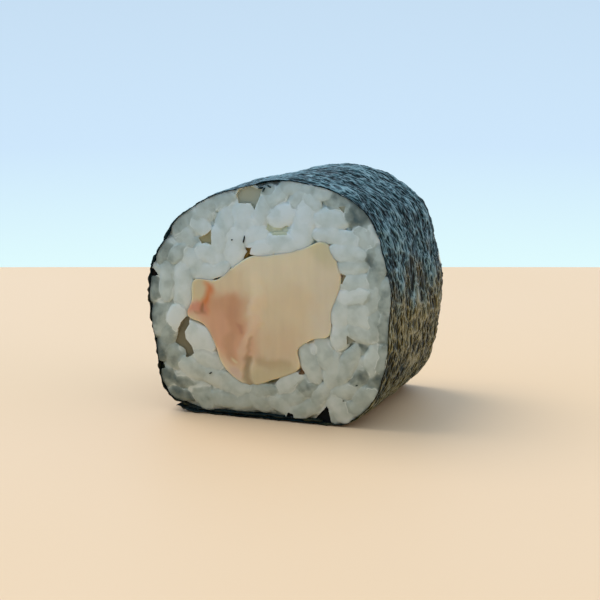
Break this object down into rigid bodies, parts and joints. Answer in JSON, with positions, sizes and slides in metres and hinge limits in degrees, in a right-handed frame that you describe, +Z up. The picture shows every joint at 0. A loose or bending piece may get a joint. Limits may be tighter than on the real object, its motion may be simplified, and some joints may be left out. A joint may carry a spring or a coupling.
{
  "type": "butterfish maki roll",
  "caption": "Cut piece of maki sushi lying on its flattened side: a seaweed sheet wound round packed rice with a thick strip of pale butterfish through the middle.",
  "frame": {"origin": "middle of the flat underside of the wrap, halfway between the two cut faces", "axes": "+X across the cut faces, +Y along the roll from the front cut face to the back one, +Z up"},
  "size_m": [0.04, 0.03, 0.0381],
  "materials": {
    "nori": "satin",
    "cooked_rice": "satin",
    "butterfish": "satin"
  },
  "bodies": {
    "root": {"nori_wrap": "nori", "rice_packing": "cooked_rice", "butterfish_strip": "butterfish"}
  },
  "joints": []
}
